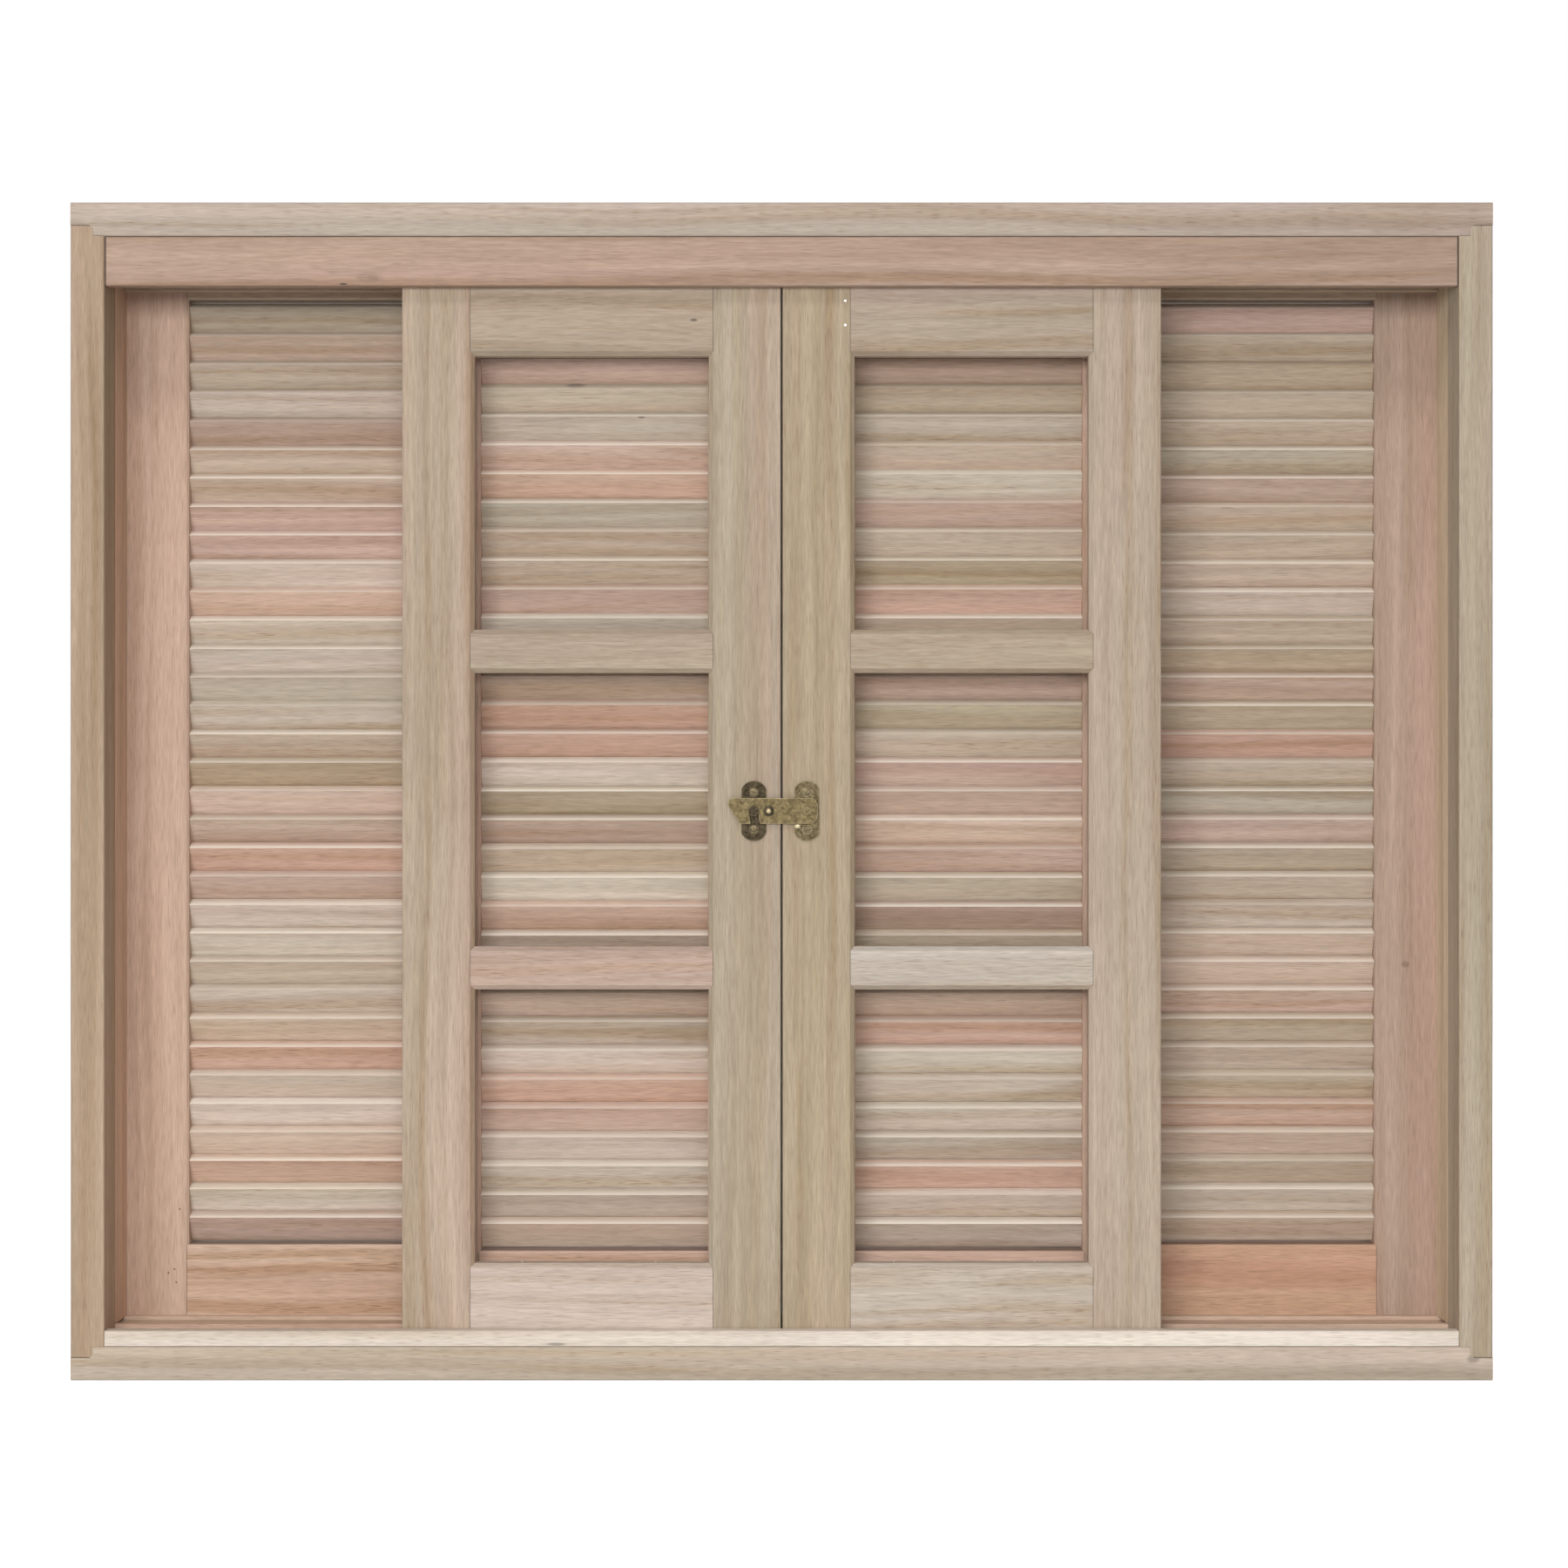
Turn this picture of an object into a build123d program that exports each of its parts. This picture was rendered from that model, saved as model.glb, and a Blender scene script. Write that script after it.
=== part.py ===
from build123d import *
from dataclasses import dataclass
from math import cos, radians, sin
import os

# A wooden sliding window for a house wall, seen from the room side: two glazing sashes in the
# front lane, two louvred shutters that slide behind them, and a fixed louvred panel at each side.
# X runs along the width, +Y points outdoors, +Z is up, and the origin is under the sill's middle.
# Lengths are in millimetres and angles in degrees.

os.makedirs("parts", exist_ok=True)

# Frame boards
width = 1200.0
height = 994.0
depth = 140.0
board = 28.4
groove_depth = 9.4
frame_arris = 1.0
notch_chamfer = 3.0

# Lanes across the depth, from the room side to the outside
bead_thickness = 12.0
running_gap = 1.5
leaf_thickness = 27.0
parting_thickness = 7.0
rear_guide_thickness = 8.0

# Guide strips and stops
strip_end_gap = 0.3
strip_arris = 0.8
bead_height = 13.6
valance_height = 41.8
valance_setback = 1.5
track_base_height = 18.0
track_lip = 3.0
head_strip_height = 43.0
stop_corner = 5.0

# Leaves
leaf_width = 321.5
meeting_gap = 1.0
leaf_clearance = 0.5
foot_gap = 0.4
leaf_arris = 0.8

# Glazing sashes
sash_top_gap = 16.2
sash_face = 57.5
sash_chamfer = 3.8
light_count = 3
sash_foot_height = 67.7
mid_rail_height = 36.6
sash_head_height = 82.8
rebate_width = 9.0
rebate_depth = 13.0

# Louvred leaves
louvre_face = 61.0
louvre_chamfer = 2.0
panel_foot_height = 82.3
panel_head_height = 49.2
shutter_top_gap = 14.0

# Slats
slat_spacing = 24.84
slat_thickness = 10.0
slat_chord = 24.1
slat_tilt = 28.0
slat_recess = 2.5
slat_housing = 8.0
slat_fit = 0.1
end_slat_gap = 1.3

# Mortise and tenon joints
tenon_thickness = 9.0
tenon_shoulder = 10.0
tenon_fit = 0.1

# Latch plates
latch_height = 480.5
plate_width = 21.0
plate_length = 51.0
plate_rise = 7.0
plate_thickness = 1.6
keeper_x = -23.6
pivot_x = 21.3
plate_screw_spacing = 31.8
screw_seat_radius = 3.7

# Latch bar, its pivot, post, knob and stop
bar_reach = 66.7
bar_tail = 9.3
bar_height = 21.8
bar_thickness = 2.2
bar_gap = 0.4
nose_corner = 4.5
tail_corner = 6.5
nose_slant = 10.4
nose_drop = 6.4
hook_width = 7.9
hook_sweep = 24.0
rivet_radius = 1.8
pivot_clearance = 0.05
rivet_head_radius = 3.3
rivet_head_height = 1.2
post_radius = 2.7
post_head_radius = 4.6
post_head_thickness = 1.4
post_head_gap = 0.5
knob_from_pivot = 32.3
knob_ring_radius = 4.6
knob_ring_thickness = 0.8
knob_radius = 3.0
knob_length = 6.0
knob_bevel = 1.6
peg_from_pivot = 7.9
peg_width = 5.6
peg_height = 4.0
peg_gap = 0.2

# Places that follow from the sizes above
front = -depth / 2
back = depth / 2
plank = board - groove_depth
jamb_face = width / 2 - board
groove_wall = width / 2 - plank
head_face = height - board
head_floor = height - plank

sash_front = front + bead_thickness + running_gap
parting_front = sash_front + leaf_thickness + running_gap
parting_back = parting_front + parting_thickness
shutter_front = parting_back + running_gap
rear_guide_front = shutter_front + leaf_thickness + running_gap
panel_front = rear_guide_front + rear_guide_thickness
panel_back = panel_front + leaf_thickness

sash_bottom = board + foot_gap
sash_top = head_face - sash_top_gap
first_light = sash_bottom + sash_foot_height
light_pitch = (sash_top - sash_head_height + mid_rail_height - first_light) / light_count
track_base_top = plank + track_base_height
track_top = track_base_top + track_lip
valance_bottom = head_face - valance_height
head_strip_bottom = head_floor - head_strip_height
fixed_edge = groove_wall - leaf_clearance - leaf_width

panel_bottom = plank + leaf_clearance
panel_top = head_floor - leaf_clearance
louvre_bottom = panel_bottom + panel_foot_height
louvre_top = panel_top - panel_head_height
slat_rise = slat_chord * cos(radians(slat_tilt)) + slat_thickness * sin(radians(slat_tilt))
slat_depth = slat_chord * sin(radians(slat_tilt)) + slat_thickness * cos(radians(slat_tilt))
lowest_slat = louvre_bottom + end_slat_gap + slat_rise / 2
highest_slat = louvre_top - end_slat_gap - slat_rise / 2
slat_count = 1 + round((highest_slat - lowest_slat) / slat_spacing)
slat_pitch = (highest_slat - lowest_slat) / (slat_count - 1)

plate_front = sash_front - plate_thickness
bar_back = plate_front - bar_gap
bar_front = bar_back - bar_thickness


def facing(y):
    """The upright plane at depth y, seen from the room: X to the right and Z up."""
    return Plane.XZ.offset(-y)


def across(x):
    """The upright plane at x, seen from the right: +Y to the right and Z up."""
    return Plane.YZ.offset(x)


def rectangle(plane, low, high, arris=0.0):
    """A rectangle between two corners in the plane, with its corners cut by the arris."""
    with BuildSketch(plane) as outline:
        with Locations(((low[0] + high[0]) / 2, (low[1] + high[1]) / 2)):
            Rectangle(high[0] - low[0], high[1] - low[1])
        if arris:
            chamfer(outline.vertices(), arris)
    return outline.sketch


def discs(plane, centres, radius):
    """Equal discs in the plane."""
    with BuildSketch(plane) as outline:
        with Locations(*centres):
            Circle(radius)
    return outline.sketch


def save(part, name):
    """Label a finished piece and write it to its own file."""
    part.label = name
    export_step(part, f"parts/{name}.step")


# Frame


def is_near(value, target):
    """True where two sizes agree to a hundredth of a millimetre."""
    return abs(value - target) < 0.01


def at_lap(edge):
    """True for an edge on the line where a board's lips end and the next board's plank stands."""
    place = edge.center()
    at_height = is_near(place.Z, plank) or is_near(place.Z, head_floor)
    return at_height and is_near(abs(place.X), groove_wall)


def frame_board(name, plane, length, setback):
    """A plank with one wide groove. At both ends its lips stop short, where the boards lap.

    The corner of each lap is cut off slantwise: the lapped board keeps wood in the corner of
    its rebate, and the board that stands in the rebate loses its corner.
    """
    with BuildPart() as member:
        with BuildSketch(plane) as section:
            with BuildLine():
                Polyline(
                    (front, 0),
                    (back, 0),
                    (back, board),
                    (panel_back, board),
                    (panel_back, plank),
                    (parting_front, plank),
                    (parting_front, board),
                    (front, board),
                    close=True,
                )
            make_face()
            ends = section.vertices().group_by(Axis.X)
            chamfer(ends[0] + ends[-1], frame_arris)
        extrude(amount=length)
        for end, inwards in ((plane, 1), (plane.offset(length), -1)):
            lips = rectangle(end, (front, plank), (back, board))
            extrude(lips, amount=inwards * setback, mode=Mode.SUBTRACT)
        chamfer(member.edges().filter_by(Axis.Y).filter_by(at_lap), notch_chamfer)
    save(member.part, name)


def horizontal_strip(name, half_length, y_span, z_span):
    """A strip between the jambs, its section cut to shape and run along X."""
    section = rectangle(
        across(-half_length),
        (y_span[0], z_span[0]),
        (y_span[1], z_span[1]),
        strip_arris,
    )
    with BuildPart() as strip:
        extrude(section, amount=2 * half_length)
    save(strip.part, name)


frame_board("sill", Plane.YZ.offset(-width / 2), width, plank)
frame_board(
    "head", Plane((width / 2, 0, height), x_dir=(0, 1, 0), z_dir=(-1, 0, 0)), width, plank
)
frame_board(
    "left_jamb",
    Plane((-width / 2, 0, head_floor), x_dir=(0, 1, 0), z_dir=(0, 0, -1)),
    head_floor - plank,
    groove_depth,
)
frame_board(
    "right_jamb",
    Plane((width / 2, 0, plank), x_dir=(0, 1, 0), z_dir=(0, 0, 1)),
    head_floor - plank,
    groove_depth,
)

between_jambs = jamb_face - strip_end_gap
between_grooves = groove_wall - strip_end_gap
between_panels = fixed_edge - leaf_clearance

horizontal_strip(
    "valance",
    between_jambs,
    (front + valance_setback, front + bead_thickness),
    (valance_bottom, head_face),
)
horizontal_strip(
    "front_guide_bead",
    between_jambs,
    (front, front + bead_thickness),
    (board, board + bead_height),
)
horizontal_strip(
    "track_front_strip",
    between_grooves,
    (parting_front, parting_back),
    (plank, track_top),
)
horizontal_strip(
    "track_base_strip",
    between_grooves,
    (parting_back, rear_guide_front),
    (plank, track_base_top),
)
horizontal_strip(
    "track_rear_strip",
    between_grooves,
    (rear_guide_front, panel_front),
    (plank, track_top),
)
horizontal_strip(
    "head_parting_strip",
    between_jambs,
    (parting_front, parting_back),
    (head_strip_bottom, head_floor),
)
horizontal_strip(
    "head_rear_strip",
    between_jambs,
    (rear_guide_front, panel_front),
    (head_strip_bottom, head_floor),
)
horizontal_strip(
    "head_filler_strip", between_panels, (panel_front, panel_back), (head_face, head_floor)
)
horizontal_strip(
    "sill_filler_strip", between_panels, (panel_front, panel_back), (plank, board)
)

for side, stop_name in ((-1, "left_side_stop"), (1, "right_side_stop")):
    with BuildPart() as stop:
        section = rectangle(
            Plane.XY.offset(track_top),
            (min(side * jamb_face, side * groove_wall), parting_front),
            (max(side * jamb_face, side * groove_wall), panel_front),
        )
        extrude(section, amount=head_floor - track_top)
        lower_front = stop.edges().filter_by(Axis.X).group_by(Axis.Z)[0].sort_by(Axis.Y)[0]
        fillet(lower_front, stop_corner)
    save(stop.part, stop_name)


# Leaves


@dataclass
class Leaf:
    """One framed leaf. Its inner edge is the one nearer the window's middle."""

    name: str
    side: int
    inner: float
    front: float
    face: float
    chamfer: float
    rails: dict

    @property
    def stile(self):
        """The stile's full width, from its free edge to the opening."""
        return self.face + self.chamfer

    def x(self, across_leaf):
        """The place of a distance across the leaf from its inner edge."""
        return self.side * (self.inner + across_leaf)

    def corners(self, start, end, low, high):
        """Two corners of a rectangle across the leaf, lower left first."""
        left, right = sorted((self.x(start), self.x(end)))
        return (left, low), (right, high)

    def spans(self):
        """The heights of all rails, lowest first."""
        return list(self.rails.values())

    def openings(self):
        """The heights of the openings between the rails."""
        spans = self.spans()
        return [(below[1], above[0]) for below, above in zip(spans, spans[1:])]

    def back_plane(self):
        return facing(self.front + leaf_thickness)


def rail_outline(leaf, low, high):
    """A rail's face: it meets the stiles square, and mitres into their chamfers at an opening."""
    at_foot = low == leaf.spans()[0][0]
    at_top = high == leaf.spans()[-1][1]
    rise, drop = (0 if at_foot else leaf.chamfer), (0 if at_top else leaf.chamfer)
    square, mitred = leaf.face, leaf.stile
    points = [
        (square, low + rise),
        (square if at_foot else mitred, low),
        (leaf_width - (square if at_foot else mitred), low),
        (leaf_width - square, low + rise),
        (leaf_width - square, high - drop),
        (leaf_width - (square if at_top else mitred), high),
        (square if at_top else mitred, high),
        (square, high - drop),
    ]
    corners = [(leaf.x(u), z) for u, z in dict.fromkeys(points)]
    with BuildSketch(facing(leaf.front)) as outline:
        with BuildLine():
            Polyline(*corners, close=True)
        make_face()
    return outline.sketch


def cut_openings(leaf, rebate):
    """Chamfer the room side of each opening, and rebate its back where glass would sit."""
    for low, high in leaf.openings():
        sections = []
        for step in (leaf.chamfer, -leaf.chamfer):
            start, end = leaf.stile - step, leaf_width - leaf.stile + step
            corners = leaf.corners(start, end, low - step, high + step)
            sections.append(rectangle(facing(leaf.front + leaf.chamfer - step), *corners))
        loft(sections, mode=Mode.SUBTRACT)
        if rebate:
            start, end = leaf.stile - rebate_width, leaf_width - leaf.stile + rebate_width
            corners = leaf.corners(start, end, low - rebate_width, high + rebate_width)
            recess = rectangle(leaf.back_plane(), *corners)
            extrude(recess, amount=rebate_depth, mode=Mode.SUBTRACT)


def tenon(leaf, low, high, start, end, fit=0.0):
    """The section of a tenon on the plane in front of it, and how far it runs back."""
    corners = leaf.corners(start, end, low + tenon_shoulder - fit, high - tenon_shoulder + fit)
    tenon_front = leaf.front + (leaf_thickness - tenon_thickness) / 2 - fit
    return rectangle(facing(tenon_front), *corners), -(tenon_thickness + 2 * fit)


def slat_sections(leaf, x, fit=0.0):
    """The leaning sections of all slats on the plane at x: the top edge is nearest the room."""
    centre = leaf.front + slat_recess + slat_depth / 2
    with BuildSketch(across(x)) as sections:
        with Locations(*[(centre, lowest_slat + k * slat_pitch) for k in range(slat_count)]):
            Rectangle(slat_thickness + 2 * fit, slat_chord + 2 * fit, rotation=slat_tilt)
    return sections.sketch


def make_stile(leaf, outer, rebate, slatted):
    """An upright of a leaf, with the mortises and housings that its rails and slats need."""
    free_edge = leaf_width if outer else 0
    opening_edge = leaf_width - leaf.stile if outer else leaf.stile
    bottom, top = leaf.spans()[0][0], leaf.spans()[-1][1]
    (left, low), (right, high) = leaf.corners(
        free_edge, opening_edge, leaf.front, leaf.front + leaf_thickness
    )
    with BuildPart() as stile:
        with BuildSketch(Plane.XY.offset(bottom)) as section:
            with Locations(((left + right) / 2, (low + high) / 2)):
                Rectangle(right - left, high - low)
            by_x = section.vertices().group_by(Axis.X)
            chamfer(by_x[-1] if leaf.x(free_edge) > leaf.x(opening_edge) else by_x[0], leaf_arris)
        extrude(amount=top - bottom)
        for span in leaf.spans():
            notch = rail_outline(leaf, *span)
            extrude(notch, amount=-leaf_thickness, mode=Mode.SUBTRACT)
            mortise, run = tenon(leaf, *span, free_edge, opening_edge, tenon_fit)
            extrude(mortise, amount=run, mode=Mode.SUBTRACT)
        cut_openings(leaf, rebate)
        if slatted:
            housings = slat_sections(leaf, leaf.x(opening_edge), slat_fit)
            outwards = leaf.side if outer else -leaf.side
            extrude(housings, amount=outwards * slat_housing, mode=Mode.SUBTRACT)
    save(stile.part, f"{leaf.name}_{'outer' if outer else 'inner'}_stile")


def make_rail(leaf, rail_name, rebate):
    """A rail of a leaf with a tenon at each end that runs right through the stile."""
    low, high = leaf.rails[rail_name]
    with BuildPart() as rail:
        extrude(rail_outline(leaf, low, high), amount=-leaf_thickness)
        for free_edge, shoulder in ((0, leaf.face), (leaf_width, leaf_width - leaf.face)):
            tongue, run = tenon(leaf, low, high, free_edge, shoulder)
            extrude(tongue, amount=run)
        cut_openings(leaf, rebate)
    save(rail.part, f"{leaf.name}_{rail_name}")


def make_slats(leaf):
    """All slats of a louvred leaf, housed in both stiles."""
    ends = sorted((leaf.x(leaf.stile - slat_housing), leaf.x(leaf_width - leaf.stile + slat_housing)))
    with BuildPart() as slats:
        extrude(slat_sections(leaf, ends[0]), amount=ends[1] - ends[0])
    save(slats.part, f"{leaf.name}_slats")


def sash_rails():
    """The heights of a sash's rails: foot, one below each further light, and top."""
    rails = {"bottom_rail": (sash_bottom, first_light)}
    for light in range(1, light_count):
        upper = first_light + light * light_pitch
        rails[f"middle_rail_{light}"] = (upper - mid_rail_height, upper)
    highest = first_light + light_count * light_pitch - mid_rail_height
    rails["top_rail"] = (highest, sash_top)
    return rails


def louvre_rails(bottom, top):
    """The heights of a louvred leaf's two rails."""
    return {"bottom_rail": (bottom, louvre_bottom), "top_rail": (louvre_top, top)}


sliding_edge = meeting_gap / 2
shutter_bottom = track_base_top + foot_gap
shutter_top = head_floor - shutter_top_gap

for side, hand in ((-1, "left"), (1, "right")):
    sash = Leaf(
        f"{hand}_sash", side, sliding_edge, sash_front, sash_face, sash_chamfer, sash_rails()
    )
    make_stile(sash, False, True, False)
    make_stile(sash, True, True, False)
    for rail_name in sash.rails:
        make_rail(sash, rail_name, True)

    shutter = Leaf(
        f"{hand}_shutter",
        side,
        sliding_edge,
        shutter_front,
        louvre_face,
        louvre_chamfer,
        louvre_rails(shutter_bottom, shutter_top),
    )
    panel = Leaf(
        f"{hand}_panel",
        side,
        fixed_edge,
        panel_front,
        louvre_face,
        louvre_chamfer,
        louvre_rails(panel_bottom, panel_top),
    )
    for leaf in (shutter, panel):
        make_stile(leaf, False, False, True)
        make_stile(leaf, True, False, True)
        for rail_name in leaf.rails:
            make_rail(leaf, rail_name, False)
        make_slats(leaf)


# Latch


def make_plate(name, x, riveted):
    """A plate with bowed ends and two countersunk screw holes."""
    side_half = plate_length / 2 - plate_rise
    left, right = x - plate_width / 2, x + plate_width / 2
    low, high = latch_height - side_half, latch_height + side_half
    half_spacing = plate_screw_spacing / 2
    with BuildPart(facing(plate_front)) as plate:
        with BuildSketch(facing(sash_front)):
            with BuildLine():
                Line((left, low), (left, high))
                ThreePointArc((left, high), (x, latch_height + plate_length / 2), (right, high))
                Line((right, high), (right, low))
                ThreePointArc((right, low), (x, latch_height - plate_length / 2), (left, low))
            make_face()
        extrude(amount=plate_thickness)
        with Locations((x, latch_height - half_spacing), (x, latch_height + half_spacing)):
            CounterSinkHole(
                screw_seat_radius - plate_thickness,
                screw_seat_radius,
                depth=plate_thickness,
                counter_sink_angle=90,
            )
        if riveted:
            hole = discs(facing(sash_front), [(x, latch_height)], rivet_radius)
            extrude(hole, amount=plate_thickness, mode=Mode.SUBTRACT)
    save(plate.part, name)


def turned(x, y, profile):
    """A piece turned about the latch's axis at x, from a profile of (radius, depth behind y)."""
    with BuildPart() as piece:
        with BuildSketch(Plane((x, y, latch_height), x_dir=(1, 0, 0), z_dir=(0, 0, 1))):
            with BuildLine():
                Polyline(*profile, close=True)
            make_face()
        revolve(axis=Axis((x, y, latch_height), (0, 1, 0)))
    return piece.part


make_plate("keeper_plate", keeper_x, False)
make_plate("pivot_plate", pivot_x, True)

post_head_front = bar_front - post_head_gap - post_head_thickness
post = turned(
    keeper_x,
    post_head_front,
    [
        (0, 0),
        (post_head_radius, 0),
        (post_head_radius, post_head_thickness),
        (post_radius, post_head_thickness),
        (post_radius, plate_front - post_head_front),
        (0, plate_front - post_head_front),
    ],
)
save(post, "keeper_post")

rivet_front = bar_front - rivet_head_height
rivet = turned(
    pivot_x,
    rivet_front,
    [
        (0, 0),
        (rivet_head_radius, 0),
        (rivet_head_radius, rivet_head_height - pivot_clearance),
        (rivet_radius, rivet_head_height - pivot_clearance),
        (rivet_radius, sash_front - rivet_front),
        (0, sash_front - rivet_front),
    ],
)
save(rivet, "pivot_rivet")

with BuildPart() as peg:
    peg_top = latch_height - bar_height / 2 - peg_gap
    peg_x = pivot_x - peg_from_pivot
    with BuildSketch(facing(plate_front)):
        with Locations((peg_x, peg_top - peg_height / 2)):
            Rectangle(peg_width, peg_height)
    extrude(amount=plate_front - bar_front)
save(peg.part, "stop_peg")

knob_x = pivot_x - knob_from_pivot
pivot = (pivot_x, latch_height)
post_distance = pivot_x - keeper_x

with BuildPart() as bar:
    nose = pivot_x - bar_reach
    tail = pivot_x + bar_tail
    top, bottom = latch_height + bar_height / 2, latch_height - bar_height / 2
    with BuildSketch(facing(bar_back)) as outline:
        with BuildLine():
            Polyline(
                (nose, top),
                (tail, top),
                (tail, bottom),
                (nose + nose_slant, bottom),
                (nose, top - nose_drop),
                close=True,
            )
        make_face()
        fillet(outline.vertices().group_by(Axis.X)[-1], tail_corner)
        fillet(outline.vertices().group_by(Axis.Y)[-1].sort_by(Axis.X)[0], nose_corner)
    extrude(amount=bar_thickness)
    with BuildSketch(facing(bar_back)):
        with BuildLine():
            near = CenterArc(pivot, post_distance - hook_width / 2, 180, hook_sweep)
            far = CenterArc(pivot, post_distance + hook_width / 2, 180, hook_sweep)
            ThreePointArc(near @ 0, (keeper_x, latch_height + hook_width / 2), far @ 0)
            Line(near @ 1, far @ 1)
        make_face()
    extrude(amount=bar_thickness, mode=Mode.SUBTRACT)
    hole = discs(facing(bar_back), [pivot], rivet_radius + pivot_clearance)
    extrude(hole, amount=bar_thickness, mode=Mode.SUBTRACT)
save(bar.part, "latch_bar")

knob_front = bar_front - knob_length
knob = turned(
    knob_x,
    knob_front,
    [
        (0, 0),
        (knob_radius - knob_bevel, 0),
        (knob_radius, knob_bevel),
        (knob_radius, knob_length - knob_ring_thickness),
        (knob_ring_radius, knob_length - knob_ring_thickness),
        (knob_ring_radius, knob_length),
        (0, knob_length),
    ],
)
save(knob, "latch_knob")
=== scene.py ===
import math

import bpy
import numpy as np
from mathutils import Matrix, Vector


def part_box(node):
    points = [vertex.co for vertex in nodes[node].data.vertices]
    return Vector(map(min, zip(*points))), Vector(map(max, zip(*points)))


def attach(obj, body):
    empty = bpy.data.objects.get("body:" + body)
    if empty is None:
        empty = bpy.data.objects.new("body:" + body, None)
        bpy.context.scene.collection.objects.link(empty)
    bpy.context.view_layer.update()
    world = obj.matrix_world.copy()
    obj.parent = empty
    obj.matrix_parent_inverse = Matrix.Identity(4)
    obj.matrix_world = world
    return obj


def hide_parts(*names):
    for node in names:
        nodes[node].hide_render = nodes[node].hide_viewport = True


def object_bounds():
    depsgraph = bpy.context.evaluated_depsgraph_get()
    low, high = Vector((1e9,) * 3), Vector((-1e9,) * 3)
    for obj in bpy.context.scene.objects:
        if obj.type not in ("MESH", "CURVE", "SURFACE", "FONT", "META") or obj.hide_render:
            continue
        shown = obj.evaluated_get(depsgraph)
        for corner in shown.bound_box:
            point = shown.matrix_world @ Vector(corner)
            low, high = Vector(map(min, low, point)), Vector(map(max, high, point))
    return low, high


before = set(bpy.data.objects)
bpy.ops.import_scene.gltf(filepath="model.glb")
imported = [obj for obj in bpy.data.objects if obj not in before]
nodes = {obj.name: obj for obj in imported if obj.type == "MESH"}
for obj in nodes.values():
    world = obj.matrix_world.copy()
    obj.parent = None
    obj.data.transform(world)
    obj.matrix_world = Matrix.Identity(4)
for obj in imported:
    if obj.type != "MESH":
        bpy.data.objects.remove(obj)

cad_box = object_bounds()
window_front = cad_box[0].y
scene = bpy.context.scene
scene.view_settings.view_transform = "Standard"


# Viewpoint and studio
#
# The window stands on a pale studio floor and is seen from the room, level with its middle.
# A wide soft lamp stands in front, a weak one hangs above, and two light its sides and back.
# A faint low one stands for what a white floor throws up at the bottom rails.

camera_distance = 2.5
camera_offset = 0.002
camera_height = 0.5033
picture_width = 1.3227
lens = bpy.data.cameras.new("viewpoint")
lens.lens = lens.sensor_width * camera_distance / picture_width
viewpoint = bpy.data.objects.new("viewpoint", lens)
viewpoint.location = (camera_offset, window_front - camera_distance, camera_height)
viewpoint.rotation_euler = (math.radians(90), 0, 0)
scene.collection.objects.link(viewpoint)
scene.camera = viewpoint


def hang_lamp(name, place, aim, size, watts, tint):
    """A rectangular area lamp at a place, turned so that its face looks at the aim."""
    light = bpy.data.lights.new(name, "AREA")
    light.shape = "RECTANGLE"
    light.size, light.size_y = size
    light.energy = watts
    light.color = tint
    lamp = bpy.data.objects.new(name, light)
    lamp.location = place
    towards = np.subtract(aim, place)
    lamp.rotation_euler = (
        math.acos(-towards[2] / np.linalg.norm(towards)),
        0,
        math.atan2(towards[1], towards[0]) - math.pi / 2,
    )
    scene.collection.objects.link(lamp)
    return lamp


middle = (0, 0, 0.5)
bottom_rails = (0, window_front, 0.1)
front_tint, rear_tint, floor_tint = (1.0, 1.0, 0.99), (1.0, 1.0, 0.985), (1.0, 0.99, 0.97)
hang_lamp("front_lamp", (-0.6, -3.55, 1.12), middle, (2.6, 0.9), 94, front_tint)
low_lamp = hang_lamp("low_lamp", (0, -0.43, 0.1), bottom_rails, (1.8, 0.18), 0.72, floor_tint)
low_lamp.visible_camera = False
hang_lamp("high_lamp", (-0.3, -1.9, 3.0), middle, (1.6, 0.6), 22, front_tint)
hang_lamp("left_rear_lamp", (-2.3, 1.9, 1.6), middle, (1.2, 1.2), 48, rear_tint)
hang_lamp("right_rear_lamp", (2.3, 1.9, 1.6), middle, (1.2, 1.2), 48, rear_tint)


def place_node(tree, kind, sockets=None, **settings):
    """A new shader node: settings are its properties, sockets its inputs as values or links."""
    new = tree.nodes.new(kind)
    for name, value in settings.items():
        setattr(new, name, value)
    for name, value in (sockets or {}).items():
        if isinstance(value, bpy.types.NodeSocket):
            tree.links.new(value, new.inputs[name])
        else:
            new.inputs[name].default_value = value
    return new


def arithmetic(tree, operation, first, second=0.0, third=0.0):
    """The value of one Math node."""
    sockets = {0: first, 1: second, 2: third}
    return place_node(tree, "ShaderNodeMath", sockets, operation=operation).outputs[0]


def seen_ray(tree):
    """1 for rays that show the background: from the camera, a gloss or a clear body."""
    rays = place_node(tree, "ShaderNodeLightPath").outputs
    mirrored = arithmetic(tree, "MAXIMUM", rays["Is Glossy Ray"], rays["Is Transmission Ray"])
    return arithmetic(tree, "MAXIMUM", rays["Is Camera Ray"], mirrored)


room_light = 0.14
room = bpy.data.worlds.new("white_room")
scene.world = room
room.use_nodes = True
room.node_tree.nodes.clear()
room_level = place_node(
    room.node_tree,
    "ShaderNodeMapRange",
    {"Value": seen_ray(room.node_tree), "To Min": room_light, "To Max": 1.0},
)
room_colour = place_node(
    room.node_tree,
    "ShaderNodeBackground",
    {"Color": (1, 1, 1, 1), "Strength": room_level.outputs[0]},
)
place_node(room.node_tree, "ShaderNodeOutputWorld", {"Surface": room_colour.outputs[0]})

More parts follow.
